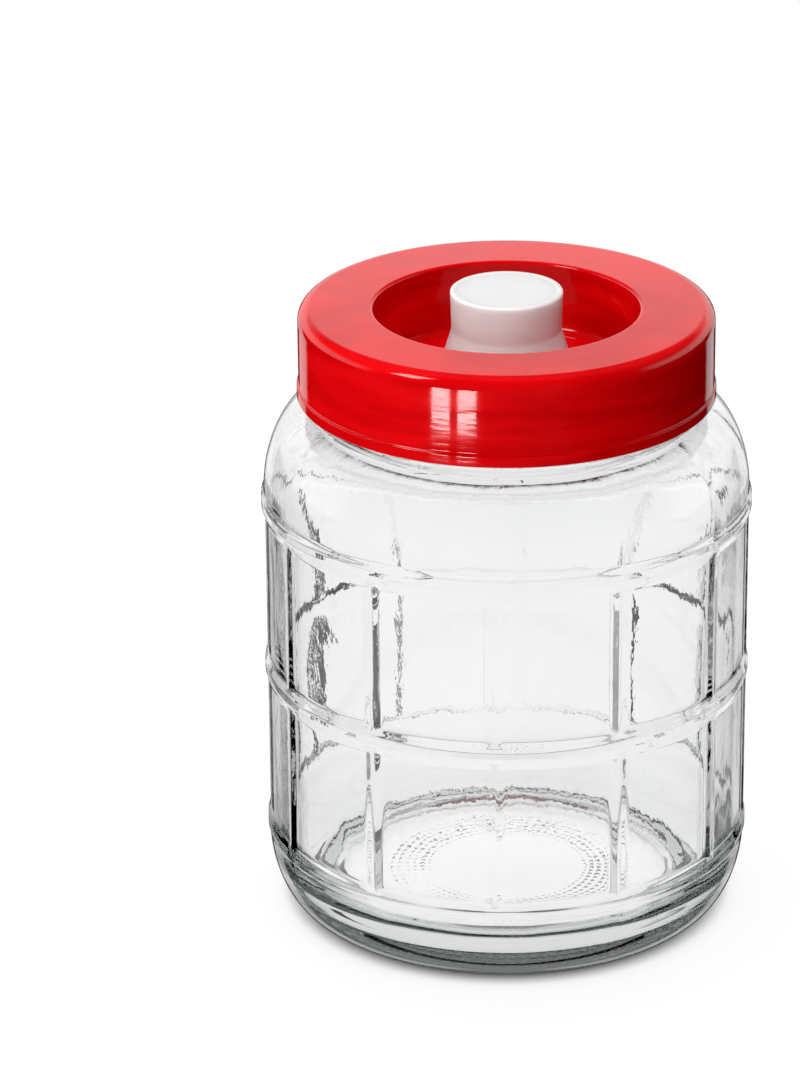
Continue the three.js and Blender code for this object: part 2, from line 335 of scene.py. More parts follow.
def rounded(outline, steps=8, hold=0.25 * MM):
    """Replaces each corner (radius, height, rounding) of an outline by an arc of that rounding.

    A row just before and just after each arc keeps the faces beside it flat."""
    points = []
    for i, (x, z, reach) in enumerate(outline):
        here = Vector((x, z))
        if reach == 0:
            points.append((x, z))
            continue
        before = (Vector(outline[i - 1][:2]) - here).normalized()
        after = (Vector(outline[i + 1][:2]) - here).normalized()
        half = before.angle(after) / 2
        middle = here + (before + after).normalized() * (reach / math.sin(half))
        run = reach / math.tan(half)
        start = here + before * run - middle
        end = here + after * run - middle
        points.append(tuple(here + before * (run + hold)))
        for k in range(steps + 1):
            turn = start.slerp(end, k / steps) * reach
            points.append(tuple(middle + turn))
        points.append(tuple(here + after * (run + hold)))
    return points


def turned_mesh(name, radius, height, angles, blown=None):
    """A closed body whose columns stand at the given angles; its first and last rows lie on the axis."""
    rows, columns = radius.shape
    x = radius * np.sin(angles)
    y = -radius * np.cos(angles)
    rings = np.stack([x, y, height], axis=-1)[1:-1].reshape(-1, 3)
    start = (0.0, 0.0, float(height[0, 0]))
    end = (0.0, 0.0, float(height[-1, 0]))
    points = [tuple(p) for p in rings] + [start, end]
    first, last = len(points) - 2, len(points) - 1
    faces = []
    for row in range(rows - 3):
        low = row * columns
        for i in range(columns):
            j = (i + 1) % columns
            faces.append((low + i, low + j, low + columns + j, low + columns + i))
    top = (rows - 3) * columns
    for i in range(columns):
        j = (i + 1) % columns
        faces.append((first, j, i))
        faces.append((last, top + i, top + j))
    mesh = bpy.data.meshes.new(name)
    mesh.from_pydata(points, [], faces)
    mesh.validate()
    mesh.shade_smooth()
    if blown is not None:
        layer = mesh.attributes.new("inner_wall", "FLOAT", "POINT")
        values = np.concatenate([np.repeat(blown[1:-1], columns), blown[[0, -1]]])
        layer.data.foreach_set("value", values.astype(np.float32))
    return mesh


def place(name, mesh, material, node):
    """Puts a mesh on the root body in place of its CAD node, in its material."""
    piece = bpy.data.objects.new(name, mesh)
    bpy.context.scene.collection.objects.link(piece)
    mesh.materials.append(material)
    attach(piece, "root")
    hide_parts(node)
    return piece


# The jar

def belt_rows(body, belt, proud, steps=8):
    """Rows over a belt, which swells out and back in."""
    middle, width, share = belt
    rows = []
    for k in range(steps + 1):
        t = k / steps
        rise = float(smooth(min(t, 1 - t), 0.0, BELT_FLANK))
        rows.append((body + proud * share * rise, middle + (t - 0.5) * width))
    return rows


def panel_rows(body, low, high):
    """Rows of the wall between two belts, close together where the panels begin and end."""
    near = ROWS_NEAR_BELT
    middle = np.linspace(low + near[-1], high - near[-1], 7)[1:-1]
    heights = np.concatenate([low + near, middle, (high - near)[::-1]])
    return [(body, float(h)) for h in heights]


def belt_edges(belt):
    """Heights of a belt's lower and upper edge."""
    return belt[0] - belt[1] / 2, belt[0] + belt[1] / 2


def jar_profile(sizes):
    """The jar's outline from the middle of its underside, over the rim, to the middle of its floor."""
    body = JAR_HIGH.x - sizes.belt_proud
    lower, middle, upper = BELTS["lower"], BELTS["middle"], BELTS["upper"]
    base_radii = np.linspace(0, FOOT_INSIDE, 14)
    base_heights = np.interp(base_radii, UNDERSIDE_RADII, UNDERSIDE_HEIGHTS)
    outside = [(float(r), float(h)) for r, h in zip(base_radii, base_heights)]
    outside += arc((FOOT_RADIUS, HEEL_HEIGHT), body - FOOT_RADIUS, HEEL_HEIGHT, -90, HEEL_END, 20)
    outside += belt_rows(body, lower, sizes.belt_proud)
    outside += panel_rows(body, belt_edges(lower)[1], belt_edges(middle)[0])
    outside += belt_rows(body, middle, sizes.belt_proud)
    outside += panel_rows(body, belt_edges(middle)[1], belt_edges(upper)[0])
    outside += belt_rows(body, upper, sizes.belt_proud)
    shoulder = (body - SHOULDER_ACROSS, SHOULDER_START)
    outside += arc(shoulder, SHOULDER_ACROSS, SHOULDER_UP, SHOULDER_BEGIN, SHOULDER_END, 18)
    rim_start = sizes.height - RIM_OUTER_ROUND
    outside += [(NECK_RADIUS, float(h)) for h in np.linspace(NECK_ROOT, rim_start, 34)[:-1]]
    rim = arc((NECK_RADIUS - RIM_OUTER_ROUND, rim_start), RIM_OUTER_ROUND, RIM_OUTER_ROUND, 0, 90, 5)
    rim_inside = (MOUTH_RADIUS + RIM_INNER_ROUND, sizes.height - RIM_INNER_ROUND)
    rim += arc(rim_inside, RIM_INNER_ROUND, RIM_INNER_ROUND, 90, 180, 5)
    inner = body - sizes.wall
    inner_shoulder = (inner - INNER_SHOULDER_ACROSS, INNER_SHOULDER_START)
    inside = [(MOUTH_RADIUS, float(h)) for h in np.linspace(rim_inside[1], INNER_NECK_FOOT, 7)[1:]]
    inside += arc(inner_shoulder, INNER_SHOULDER_ACROSS, INNER_SHOULDER_UP, INNER_SHOULDER_END, 0, 16)
    corner = FLOOR_TOP - FLOOR_RISE + INNER_CORNER
    inside += [(inner, float(h)) for h in np.linspace(INNER_SHOULDER_START, corner, 40)[1:-1]]
    inside += arc((inner - INNER_CORNER, corner), INNER_CORNER, INNER_CORNER, 0, -90, 16)
    flat_radii = np.linspace(inner - INNER_CORNER, 0, 8)[1:]
    inside += [(float(r), FLOOR_TOP - FLOOR_RISE * r / (inner - INNER_CORNER)) for r in flat_radii]
    return outside, rim, inside


def jar_angles(sizes, body):
    """Columns of the jar: close together over each rib, wider over the panels."""
    pitch = TURN / RIB_COUNT
    edge = (sizes.rib_half + sizes.panel_edge * RIB_REACH) / body
    over_rib = np.linspace(-edge, edge, RIB_COLUMNS)
    over_panel = np.linspace(edge, pitch - edge, PANEL_COLUMNS)[1:-1]
    stops = np.concatenate([over_rib, over_panel])
    return np.concatenate([RIB_PHASE + pitch * i + stops for i in range(RIB_COUNT)])


def panel_sink(sizes, body, angles, heights):
    """How far the wall is sunk at each point: full depth inside rectangles with round corners."""
    pitch = TURN / RIB_COUNT
    turns = (angles - RIB_PHASE) / pitch
    from_side = np.abs(turns - np.round(turns)) * pitch * body - sizes.rib_half
    sink = np.zeros_like(heights)
    for below, above in (("lower", "middle"), ("middle", "upper")):
        low, high = belt_edges(BELTS[below])[1], belt_edges(BELTS[above])[0]
        from_end = (high - low) / 2 - np.abs(heights - (high + low) / 2)
        from_end = from_end * sizes.panel_edge / sizes.panel_end
        side = PANEL_CORNER - from_side
        end = PANEL_CORNER - from_end
        corner = PANEL_CORNER - np.hypot(np.maximum(side, 0), np.maximum(end, 0))
        distance = np.where((side > 0) & (end > 0), corner, np.minimum(from_side, from_end))
        sink += slope(distance, sizes.panel_edge)
    return sizes.panel_depth * sink


def neck_relief(angles, heights):
    """The ring under the thread and the thread itself, which runs out at both ends."""
    rise = RING_PROUD * smooth(RING_WIDTH / 2 - np.abs(heights - RING_MIDDLE), 0.0, RING_WIDTH / 4)
    for lap in range(2):
        turns = ((angles - THREAD_START) % TURN) / TURN + lap
        middle = THREAD_LOW + THREAD_PITCH * turns
        from_end = np.minimum(turns, THREAD_TURNS - turns) * TURN
        ridge = smooth(THREAD_WIDTH / 2 - np.abs(heights - middle), 0.0, THREAD_WIDTH * 0.3)
        rise += THREAD_PROUD * ridge * smooth(from_end, 0.0, THREAD_RUN_OUT)
    return rise


def blown_wave(sizes, angle, height):
    """How far the blown inner wall stands in or out of its true place."""
    around = Vector((math.cos(angle), math.sin(angle), 0))
    swell = noise.noise(around * SWELL_AROUND + Vector((0, 0, height / SWELL_UPRIGHT)))
    settle = noise.noise(around * SETTLE_AROUND + Vector((*SETTLE_PLACE, height / SETTLE_UPRIGHT)))
    step = math.tanh(settle / SETTLE_STEP)
    return sizes.wave * (swell + SETTLE_SHARE * step)


def jar_mesh(sizes):
    """The glass jar as one closed mesh, with its inner wall marked in the attribute inner_wall."""
    outside, rim, inside = jar_profile(sizes)
    body = JAR_HIGH.x - sizes.belt_proud
    angles = jar_angles(sizes, body)
    profile = np.array(outside + rim + inside)
    radius = np.repeat(profile[:, :1], len(angles), axis=1)
    height = np.repeat(profile[:, 1:], len(angles), axis=1)
    grid = np.repeat(angles[None, :], len(profile), axis=0)
    outer = len(outside)
    radius[:outer] -= panel_sink(sizes, body, grid[:outer], height[:outer])
    radius[:outer] += np.where(profile[:outer, :1] > 0, neck_relief(grid[:outer], height[:outer]), 0)
    first_inside = outer + len(rim)
    for row in range(first_inside, len(profile) - 1):
        from_axis = float(smooth(profile[row, 0], 0.0, WAVE_RADIUS))
        spread = from_axis * float(smooth(sizes.height - profile[row, 1], 0, WAVE_BELOW_RIM))
        for column, angle in enumerate(angles):
            radius[row, column] += blown_wave(sizes, angle, profile[row, 1]) * spread
    blown = np.zeros(len(profile))
    blown[first_inside:] = smooth(profile[first_inside:, 1], *CRINKLE_HEIGHTS)
    return turned_mesh("glass_jar_shape", radius, height, angles, blown)


# The lid

def lid_outline(sizes):
    """The lid's outline from the post's top, over the outside, to the middle of its underside.

    Each corner is given as radius, height and rounding."""
    post_top = LID_HIGH.z
    top = post_top - sizes.post_above
    floor = top - sizes.well_depth
    bottom = LID_LOW.z
    lip = LID_HIGH.x
    side = lip - LIP_PROUD
    underside = top - LID_TOP_THICKNESS
    well_outside = sizes.well_radius + WELL_WALL
    return rounded([
        (0, post_top, 0),
        (sizes.post_radius, post_top, 0.7 * MM),
        (sizes.post_radius, floor, 1.4 * MM),
        (sizes.well_radius - 0.5 * MM, floor, 2.4 * MM),
        (sizes.well_radius, top, 1.2 * MM),
        (side, top, sizes.edge_round),
        (side, bottom + LIP_HEIGHT + LIP_PROUD, 0.9 * MM),
        (lip, bottom + LIP_HEIGHT, 0.5 * MM),
        (lip, bottom, 0.8 * MM),
        (SKIRT_INSIDE, bottom, 0.4 * MM),
        (SKIRT_INSIDE, underside, 0.8 * MM),
        (well_outside, underside, 0.8 * MM),
        (well_outside, floor - WELL_WALL, 2.2 * MM),
        (0, floor - WELL_WALL, 0),
    ])


def lid_mesh(sizes, columns=192):
    """The screw lid as one closed turned mesh."""
    outline = np.array(lid_outline(sizes))[::-1]
    angles = np.linspace(0, TURN, columns, endpoint=False)
    radius = np.repeat(outline[:, :1], columns, axis=1)
    height = np.repeat(outline[:, 1:], columns, axis=1)
    return turned_mesh("screw_lid_shape", radius, height, angles)


# The bell

def bell_outline(sizes, lift):
    """The bell's outline where its rim is lifted by a notch, from the crown down and up inside.

    Each corner is given as radius, height and rounding."""
    base = BELL_LOW.z
    rim = base + lift
    crown = BELL_HIGH.z
    foot = crown - BELL_BARREL
    barrel = sizes.top_radius - 0.5 * MM
    shoulder = barrel + 0.8 * MM
    ceiling = crown - sizes.wall
    flare_top = foot - 3 * MM
    spread = (BELL_HIGH.x - shoulder) / (flare_top - base)
    rim_radius = shoulder + spread * (flare_top - rim)
    tube_end = crown - BELL_TUBE_LENGTH
    return rounded([
        (0, crown - BELL_CROWN_SUNK, 0),
        (sizes.top_radius - 2.6 * MM, crown - BELL_CROWN_SUNK, 1.0 * MM),
        (sizes.top_radius - 1.6 * MM, crown, 0.5 * MM),
        (sizes.top_radius, crown, 1.0 * MM),
        (barrel, foot, 5 * MM),
        (shoulder, flare_top, 6 * MM),
        (rim_radius, rim, 0.35 * MM),
        (rim_radius - sizes.wall, rim, 0.35 * MM),
        (shoulder - sizes.wall, flare_top, 6 * MM),
        (barrel - sizes.wall, foot, 5 * MM),
        (barrel - sizes.wall, ceiling, 0.4 * MM),
        (BELL_TUBE_RADIUS, ceiling, 0.4 * MM),
        (BELL_TUBE_RADIUS, tube_end, 0.4 * MM),
        (BELL_TUBE_RADIUS - sizes.wall, tube_end, 0.4 * MM),
        (BELL_TUBE_RADIUS - sizes.wall, ceiling - BELL_CROWN_SUNK, 0.4 * MM),
        (0, ceiling - BELL_CROWN_SUNK, 0),
    ], steps=4)


def notch_lift(sizes, across):
    """How high the arch of a notch stands above the base at a distance from the notch's middle."""
    half = sizes.notch_width / 2
    if across >= half:
        return 0.0
    return sizes.notch_height - half + math.sqrt(half * half - across * across)


def bell_mesh(sizes):
    """The bell as one closed mesh, with columns close together at each side of a notch."""
    half = math.asin(sizes.notch_width / 2 / BELL_HIGH.x)
    over_notch = [-half * math.cos(math.pi * k / 14) for k in range(15)]
    beyond = half + 0.12 * MM / BELL_HIGH.x
    quarter = TURN / NOTCH_COUNT
    between = list(np.linspace(beyond, quarter - beyond, 24))
    angles = []
    lifts = []
    for i in range(NOTCH_COUNT):
        for offset in over_notch[1:-1] + between:
            angles.append(NOTCH_PHASE + quarter * i + offset)
            across = abs(math.sin(offset)) * BELL_HIGH.x if offset < half else sizes.notch_width
            lifts.append(notch_lift(sizes, across))
    columns = np.array([bell_outline(sizes, lift) for lift in lifts])
    radius = columns[:, ::-1, 0].T
    height = columns[:, ::-1, 1].T
    return turned_mesh("airlock_bell_shape", radius, height, np.array(angles))


# Materials

FLOW_INPUTS = (("Scale", 20.0), ("Upright stretch", 1.0), ("Detail", 3.0), ("Low", 0.0), ("High", 1.0))
CLOUD_SPREAD = (0.3, 0.7)


class NodeLayout:
    """Adds nodes to a tree and joins them up."""

    def __init__(self, tree):
        self.tree = tree

    def add(self, kind, **settings):
        node = self.tree.nodes.new(kind)
        for key, value in settings.items():
            setattr(node, key, value)
        return node

    def join(self, source, target):
        self.tree.links.new(source, target)

    def math(self, operation, first, second=None):
        """A Math node; each of first and second is a socket or a number."""
        node = self.add("ShaderNodeMath", operation=operation)
        for socket, value in zip(node.inputs, (first, second)):
            if isinstance(value, bpy.types.NodeSocket):
                self.join(value, socket)
            elif value is not None:
                socket.default_value = value
        return node.outputs[0]


def flow_group():
    """Shader group: cloudy streaks as moulding or blowing leaves them, for colour, roughness and bump."""
    group = bpy.data.node_groups.new("Flow marks", "ShaderNodeTree")
    face = group.interface
    for label, value in FLOW_INPUTS:
        socket = face.new_socket(label, in_out="INPUT", socket_type="NodeSocketFloat")
        socket.default_value = value
    for label in ("Mask", "Value"):
        face.new_socket(label, in_out="OUTPUT", socket_type="NodeSocketFloat")
    layout = NodeLayout(group)
    given = layout.add("NodeGroupInput")
    result = layout.add("NodeGroupOutput")
    place_node = layout.add("ShaderNodeTexCoord")
    apart = layout.add("ShaderNodeSeparateXYZ")
    layout.join(place_node.outputs["Object"], apart.inputs[0])
    stretched = layout.math("DIVIDE", apart.outputs["Z"], given.outputs["Upright stretch"])
    together = layout.add("ShaderNodeCombineXYZ")
    layout.join(apart.outputs["X"], together.inputs["X"])
    layout.join(apart.outputs["Y"], together.inputs["Y"])
    layout.join(stretched, together.inputs["Z"])
    cloud = layout.add("ShaderNodeTexNoise")
    layout.join(together.outputs[0], cloud.inputs["Vector"])
    layout.join(given.outputs["Scale"], cloud.inputs["Scale"])
    layout.join(given.outputs["Detail"], cloud.inputs["Detail"])
    spread = layout.add("ShaderNodeMapRange", interpolation_type="SMOOTHSTEP")
    spread.inputs["From Min"].default_value = CLOUD_SPREAD[0]
    spread.inputs["From Max"].default_value = CLOUD_SPREAD[1]
    layout.join(cloud.outputs["Fac"], spread.inputs["Value"])
    layout.join(spread.outputs[0], result.inputs["Mask"])
    level = layout.add("ShaderNodeMapRange")
    layout.join(spread.outputs[0], level.inputs["Value"])
    layout.join(given.outputs["Low"], level.inputs["To Min"])
    layout.join(given.outputs["High"], level.inputs["To Max"])
    layout.join(level.outputs[0], result.inputs["Value"])
    return group


def flow_marks(layout, scale, stretch, detail, low, high):
    """Places the flow marks group in a material with its own values."""
    group = bpy.data.node_groups.get("Flow marks") or flow_group()
    node = layout.add("ShaderNodeGroup", node_tree=group)
    for (label, _), value in zip(FLOW_INPUTS, (scale, stretch, detail, low, high)):
        node.inputs[label].default_value = value
    return node


def new_material(name):
    """A material with a Principled shader; returns the material, its node layout and the shader."""
    material = bpy.data.materials.new(name)
    material.use_nodes = True
    layout = NodeLayout(material.node_tree)
    return material, layout, material.node_tree.nodes["Principled BSDF"]


def mix_colours(layout, mask, first, second):
    """A colour between two, by a mask that changes over the surface."""
    mix = layout.add("ShaderNodeMix", data_type="RGBA")
    layout.join(mask, mix.inputs["Factor"])
    mix.inputs["A"].default_value = (*first, 1)
    mix.inputs["B"].default_value = (*second, 1)
    return mix.outputs["Result"]


def band(layout, value, low, high, soft):
    """A mask that is 1 between low and high, with soft edges."""
    rise = layout.add("ShaderNodeMapRange", interpolation_type="SMOOTHSTEP")
    rise.inputs["From Min"].default_value = low - soft
    rise.inputs["From Max"].default_value = low + soft
    layout.join(value, rise.inputs["Value"])
    fall = layout.add("ShaderNodeMapRange", interpolation_type="SMOOTHSTEP")
    fall.inputs["From Min"].default_value = high + soft
    fall.inputs["From Max"].default_value = high - soft
    layout.join(value, fall.inputs["Value"])
    return layout.math("MULTIPLY", rise.outputs[0], fall.outputs[0])


def bump(layout, height, distance, strength=1.0):
    """A normal that follows a height over the surface."""
    node = layout.add("ShaderNodeBump")
    node.inputs["Distance"].default_value = distance
    node.inputs["Strength"].default_value = strength
    layout.join(height, node.inputs["Height"])
    return node.outputs["Normal"]


def stipple(layout):
    """A ring of small dimples on the underside, in rows round the axis."""
    place_node = layout.add("ShaderNodeTexCoord")
    apart = layout.add("ShaderNodeSeparateXYZ")
    layout.join(place_node.outputs["Object"], apart.inputs[0])
    x, y, z = (apart.outputs[axis] for axis in "XYZ")
    squares = layout.math("ADD", layout.math("MULTIPLY", x, x), layout.math("MULTIPLY", y, y))
    radius = layout.math("SQRT", squares)
    heading = layout.math("ARCTAN2", y, x)
    rows = layout.math("SINE", layout.math("MULTIPLY", radius, TURN / STIPPLE_STEP))
    dots = layout.math("SINE", layout.math("MULTIPLY", heading, STIPPLE_ROUND))
    spots = layout.math("MULTIPLY", dots, dots)
    bumps = layout.math("MULTIPLY", layout.math("MAXIMUM", rows, 0.0), spots)
    ring = band(layout, radius, *STIPPLE_RADII, STIPPLE_EDGE)
    under = layout.math("LESS_THAN", z, STIPPLE_BELOW)
    worn = flow_marks(layout, scale=40.0, stretch=1.0, detail=2.0, low=0.15, high=1.0)
    uneven = layout.math("MULTIPLY", bumps, worn.outputs["Value"])
    return layout.math("MULTIPLY", uneven, layout.math("MULTIPLY", ring, under))


def glass_material(colours):
    """Clear pressed glass with faint streaks, and fine crinkles on its blown inner wall."""
    material, layout, shader = new_material("Clear pressed glass")
    output = material.node_tree.nodes["Material Output"]
    wall = layout.add("ShaderNodeAttribute", attribute_name="inner_wall")
    crinkle = flow_marks(layout, scale=CRINKLE_SCALE, stretch=1.6, detail=3.0, low=0.0, high=1.0)
    inner = layout.math("MULTIPLY", crinkle.outputs["Mask"], wall.outputs["Fac"])
    crinkles = layout.math("MULTIPLY", inner, CRINKLE_DEPTH)
    dimples = layout.math("MULTIPLY", stipple(layout), STIPPLE_DEPTH)
    layout.join(bump(layout, layout.math("ADD", crinkles, dimples), 1.0), shader.inputs["Normal"])
    streaks = flow_marks(layout, scale=14.0, stretch=3.0, detail=2.0, low=0.0, high=0.02)
    tinted = mix_colours(layout, streaks.outputs["Mask"], colours.glass_clear, colours.glass_deep)
    layout.join(tinted, shader.inputs["Base Color"])
    layout.join(streaks.outputs["Value"], shader.inputs["Roughness"])
    shader.inputs["Metallic"].default_value = 0.0
    shader.inputs["IOR"].default_value = 1.5
    shader.inputs["Transmission Weight"].default_value = 1.0
    depth = layout.add("ShaderNodeVolumeAbsorption")
    depth.inputs["Color"].default_value = (*colours.glass_depth, 1)
    depth.inputs["Density"].default_value = GLASS_DENSITY
    layout.join(depth.outputs[0], output.inputs["Volume"])
    return material


def red_material(colours):
    """Glossy moulded red plastic with soft flow marks."""
    material, layout, shader = new_material("Glossy red plastic")
    marks = flow_marks(layout, scale=22.0, stretch=0.14, detail=3.0, low=0.05, high=0.10)
    reds = mix_colours(layout, marks.outputs["Mask"], colours.deep_red, colours.red)
    layout.join(reds, shader.inputs["Base Color"])
    layout.join(marks.outputs["Value"], shader.inputs["Roughness"])
    layout.join(bump(layout, marks.outputs["Mask"], 0.05 * MM, 0.5), shader.inputs["Normal"])
    shader.inputs["IOR"].default_value = 1.5
    return material


def milky_material(colours):
    """Thin cloudy white plastic that lets some light through."""
    material, layout, shader = new_material("Milky plastic")
    clouds = flow_marks(layout, scale=60.0, stretch=0.6, detail=3.0, low=0.28, high=0.4)
    whites = mix_colours(layout, clouds.outputs["Mask"], colours.milk_shade, colours.milk)
    layout.join(whites, shader.inputs["Base Color"])
    layout.join(clouds.outputs["Value"], shader.inputs["Roughness"])
    shader.inputs["Metallic"].default_value = 0.0
    shader.inputs["Transmission Weight"].default_value = 0.15
    shader.inputs["Subsurface Weight"].default_value = 0.8
    shader.inputs["Subsurface Radius"].default_value = (1.0, 1.0, 1.0)
    shader.inputs["Subsurface Scale"].default_value = 8 * MM
    shader.inputs["IOR"].default_value = 1.45
    return material


# The stage

def make_camera():
    """The camera at the photograph's angle, with the jar's axis right of the middle."""
    camera = bpy.data.cameras.new("Camera")
    camera.sensor_width = 36.0
    camera.lens = camera.sensor_width * FOCAL_PIXELS / IMAGE_HEIGHT
    camera.shift_x = -(AXIS_PIXEL - IMAGE_WIDTH / 2) / IMAGE_HEIGHT
    camera.clip_start = 0.05
    camera.clip_end = 50.0
    stand = bpy.data.objects.new("Camera", camera)
    stand.location = (0, -CAMERA_FRONT, CAMERA_HEIGHT)
    stand.rotation_euler = (math.pi / 2 - CAMERA_DOWN, 0, 0)
    bpy.context.scene.collection.objects.link(stand)
    bpy.context.scene.camera = stand


def floor_mesh(radius, rings=10, columns=96):
    """A round floor whose rings are closer together near the middle."""
    radii = [radius * (k / rings) ** 2 for k in range(1, rings + 1)]
    points = [(0.0, 0.0, 0.0)]
    for r in radii:
        for i in range(columns):
            angle = TURN * i / columns
            points.append((r * math.cos(angle), r * math.sin(angle), 0.0))
    faces = [(0, 1 + i, 1 + (i + 1) % columns) for i in range(columns)]
    for ring in range(rings - 1):
        low = 1 + ring * columns
        for i in range(columns):
            j = (i + 1) % columns
            faces.append((low + i, low + columns + i, low + columns + j, low + j))
    mesh = bpy.data.meshes.new("floor_shape")
    mesh.from_pydata(points, [], faces)
    return mesh


def make_floor(looks):
    """A large plain pale floor that glows like a light table, with a painted shade ring in its glow where
    the foot ring covers it.
    """
    material, layout, shader = new_material("Pale floor")
    shader.inputs["Base Color"].default_value = (*looks.floor, 1)
    shader.inputs["Roughness"].default_value = 0.9
    shader.inputs["Specular IOR Level"].default_value = 0.0
    place_node = layout.add("ShaderNodeTexCoord")
    # Painted shade: the floor's glow fades to nothing in a ring under the jar's foot ring
    away = layout.add("ShaderNodeVectorMath", operation="LENGTH")
    layout.join(place_node.outputs["Object"], away.inputs[0])
    off_ring = layout.math("ABSOLUTE", layout.math("SUBTRACT", away.outputs["Value"], PAINTED_FOOT_SHADE_RADIUS))
    shade = layout.add("ShaderNodeMapRange", interpolation_type="SMOOTHSTEP")
    shade.inputs["From Max"].default_value = PAINTED_FOOT_SHADE_WIDTH
    layout.join(off_ring, shade.inputs["Value"])
    layout.join(shade.outputs[0], shader.inputs["Emission Color"])
    shader.inputs["Emission Strength"].default_value = looks.floor_glow
    mesh = floor_mesh(FLOOR_RADIUS)
    mesh.materials.append(material)
    floor = bpy.data.objects.new("floor", mesh)
    bpy.context.scene.collection.objects.link(floor)
    floor.visible_glossy = False
    floor.visible_transmission = False


def make_world(looks):
    """A backdrop that is bright round the horizon and dim overhead.

    Rays through glass also see the bright table, with dark cards on it at both sides behind the object.
    Mirrors also see a bright streak at each side of the table, and a dark front."""
    world = bpy.data.worlds.new("Backdrop")
    world.use_nodes = True
    bpy.context.scene.world = world
    world.cycles.sampling_method = "NONE"
    layout = NodeLayout(world.node_tree)
    background = world.node_tree.nodes["Background"]
    direction = layout.add("ShaderNodeTexCoord")
    apart = layout.add("ShaderNodeSeparateXYZ")
    layout.join(direction.outputs["Generated"], apart.inputs[0])
    rise = apart.outputs["Z"]
    level = layout.add("ShaderNodeMapRange")
    level.inputs["From Min"].default_value = -1.0
    level.inputs["From Max"].default_value = 1.0
    layout.join(rise, level.inputs["Value"])
    ramp = layout.add("ShaderNodeValToRGB")
    layout.join(level.outputs[0], ramp.inputs["Fac"])
    stops = ramp.color_ramp.elements
    while len(stops) < len(BACKDROP):
        stops.new(0.5)
    for stop, (height, setting, factor) in zip(stops, BACKDROP):
        value = getattr(looks, setting) * factor
        stop.position = (height + 1) / 2
        stop.color = (value, value, value, 1)
    path = layout.add("ShaderNodeLightPath")
    heading = layout.math("ARCTAN2", apart.outputs["X"], apart.outputs["Y"])
    below = band(layout, rise, *TABLE_RISE, TABLE_SOFT)
    above = band(layout, rise, *OVERHEAD_RISE, UPPER_SOFT)
    cards = 0.0
    for left, right, bottom, top, darkness in CARDS:
        across = band(layout, heading, left, right, CARD_SIDE_SOFT)
        upright = band(layout, rise, bottom, top, CARD_END_SOFT)
        card = layout.math("MULTIPLY", across, upright)
        cards = layout.math("ADD", cards, layout.math("MULTIPLY", card, darkness))
    open_part = layout.math("SUBTRACT", 1.0, cards)
    table = layout.math("MULTIPLY", layout.math("MULTIPLY", below, open_part), looks.through)
    table = layout.math("ADD", table, layout.math("MULTIPLY", above, OVERHEAD_THROUGH))
    upward = band(layout, rise, *UPWARD_RISE, UPPER_SOFT)
    table = layout.math("ADD", table, layout.math("MULTIPLY", upward, UPWARD_THROUGH))
    seen_through = layout.math("MULTIPLY", table, path.outputs["Is Transmission Ray"])
    aside = band(layout, layout.math("ABSOLUTE", heading), *STREAK_HEADING, STREAK_SOFT)
    streak = layout.math("MULTIPLY", aside, below)
    reflected = layout.math("SUBTRACT", path.outputs["Is Glossy Ray"], path.outputs["Is Transmission Ray"])
    mirror_only = layout.math("MAXIMUM", reflected, 0.0)
    bright_streak = layout.math("MULTIPLY", streak, STREAK_BRIGHTNESS)
    mirrored = layout.math("MULTIPLY", bright_streak, mirror_only)
    front = band(layout, layout.math("ABSOLUTE", heading), *FRONT_HEADING, FRONT_SOFT)
    unlit_front = layout.math("SUBTRACT", 1.0, layout.math("MULTIPLY", front, mirror_only))
    backdrop = layout.math("MULTIPLY", ramp.outputs["Color"], unlit_front)
    total = layout.math("ADD", backdrop, layout.math("ADD", seen_through, mirrored))
    layout.join(total, background.inputs["Color"])
    background.inputs["Strength"].default_value = 1.0


def area_light(name, place_at, aim, width, height, watts):
    """A soft rectangular light at a point, turned to face another, unseen by the camera itself."""
    light = bpy.data.lights.new(name, "AREA")
    light.shape = "RECTANGLE"
    light.size = width
    light.size_y = height
    light.energy = watts
    lamp = bpy.data.objects.new(name, light)
    lamp.location = place_at
    lamp.rotation_euler = (Vector(aim) - Vector(place_at)).to_track_quat("-Z", "Y").to_euler()
    lamp.visible_camera = False
    bpy.context.scene.collection.objects.link(lamp)
    return lamp


def window_light():
    """A low window of two columns with three panes each, mirrored on the lid's side."""
    level = math.cos(WINDOW_DROP)
    way = Vector((
        -math.sin(WINDOW_HEADING) * level, -math.cos(WINDOW_HEADING) * level, -math.sin(WINDOW_DROP)
    ))
    centre = Vector(WINDOW_TARGET) + way * WINDOW_AWAY
    across = Vector((math.cos(WINDOW_HEADING), -math.sin(WINDOW_HEADING), 0))
    up = across.cross(way).normalized()
    if up.z < 0:
        up = -up
    for column in (-1, 1):
        for row in (-1, 0, 1):
            spot = centre + across * (column * WINDOW_COLUMN_STEP) + up * (row * WINDOW_ROW_STEP)
            name = f"window_{column}_{row}"
            pane = area_light(name, spot, spot - way, PANE_WIDTH, PANE_HEIGHT, PANE_WATTS)
            pane.light_linking.receiver_collection = receivers("lit_by_window")


def receivers(name):
    """The collection of pieces that a light is kept to."""
    return bpy.data.collections.get(name) or bpy.data.collections.new(name)


def shade_card():
    """A black card standing at the right, which no camera sees, that dims the lid's right side."""
    x, near, far, top = SHADE_CARD
    mesh = bpy.data.meshes.new("shade_card_shape")
    mesh.from_pydata([(x, near, 0), (x, far, 0), (x, far, top), (x, near, top)], [], [(0, 1, 2, 3)])
    material, _, shader = new_material("Black card")
    shader.inputs["Base Color"].default_value = (0.01, 0.01, 0.01, 1)
    mesh.materials.append(material)
    card = bpy.data.objects.new("shade_card", mesh)
    bpy.context.scene.collection.objects.link(card)
    card.visible_camera = False
    card.visible_glossy = False
    card.visible_transmission = False
    card.visible_shadow = False


